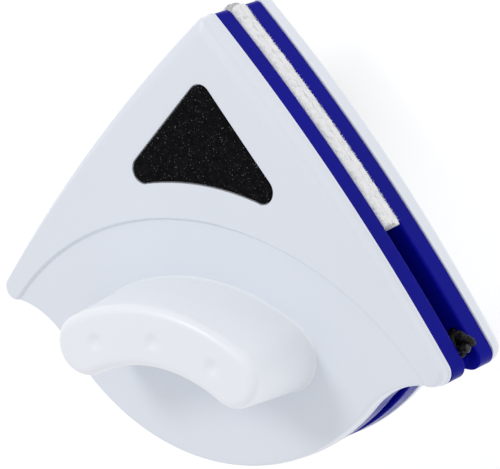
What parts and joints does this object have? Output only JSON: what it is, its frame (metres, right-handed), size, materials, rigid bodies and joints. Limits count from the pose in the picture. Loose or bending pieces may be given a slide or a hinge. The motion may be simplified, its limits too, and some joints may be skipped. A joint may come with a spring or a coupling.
{
  "type": "magnetic glass cleaner",
  "caption": "Two matching rounded-triangle halves with crescent grips that clamp either side of an aquarium pane by magnets, with fleece wiping strips and a safety cord.",
  "frame": {"origin": "middle of the footprint, at the floor the outer grip rests on", "axes": "+Z from the outer half to the inner half, across the pane; +Y toward the apex of the triangle; +X to the right as seen from the inner half"},
  "size_m": [0.1642, 0.1382, 0.0889],
  "materials": {
    "shell": "smooth moulded, satin gloss",
    "grip": "smooth moulded, satin gloss",
    "base_plate": "smooth moulded",
    "pad": "coarse black grain",
    "fleece": "dense white pile",
    "wiper": "matt",
    "magnet": "nickel plated",
    "yoke": "zinc plated",
    "screw": "zinc plated",
    "cord": "braided nylon",
    "cord_tie": "matt",
    "cord_toggle": "matt"
  },
  "bodies": {
    "outer_half": {"cord_coil": "cord", "cord_knot": "cord", "cord_lead": "cord", "cord_tail": "cord", "cord_tie": "cord_tie", "cord_toggle": "cord_toggle", "outer_base_plate": "base_plate", "outer_fleece_left": "fleece", "outer_fleece_right": "fleece", "outer_handle": "grip", "outer_handle_screw_left": "screw", "outer_handle_screw_right": "screw", "outer_magnet_lower_left": "magnet", "outer_magnet_lower_right": "magnet", "outer_magnet_upper_left": "magnet", "outer_magnet_upper_right": "magnet", "outer_pad": "pad", "outer_plate_screw_apex": "screw", "outer_plate_screw_bottom": "screw", "outer_plate_screw_left": "screw", "outer_plate_screw_right": "screw", "outer_shell": "shell", "outer_wiper_left": "wiper", "outer_wiper_right": "wiper", "outer_yoke_lower": "yoke", "outer_yoke_upper": "yoke"},
    "inner_half": {"inner_base_plate": "base_plate", "inner_fleece_left": "fleece", "inner_fleece_right": "fleece", "inner_handle": "grip", "inner_handle_screw_left": "screw", "inner_handle_screw_right": "screw", "inner_magnet_lower_left": "magnet", "inner_magnet_lower_right": "magnet", "inner_magnet_upper_left": "magnet", "inner_magnet_upper_right": "magnet", "inner_pad": "pad", "inner_plate_screw_apex": "screw", "inner_plate_screw_bottom": "screw", "inner_plate_screw_left": "screw", "inner_plate_screw_right": "screw", "inner_shell": "shell", "inner_wiper_left": "wiper", "inner_wiper_right": "wiper", "inner_yoke_lower": "yoke", "inner_yoke_upper": "yoke"}
  },
  "joints": [
    {"name": "pane_gap_slide", "type": "slide", "parent": "outer_half", "child": "inner_half", "axis": [0, 0, 1], "range_m": [0, 0.06]}
  ]
}
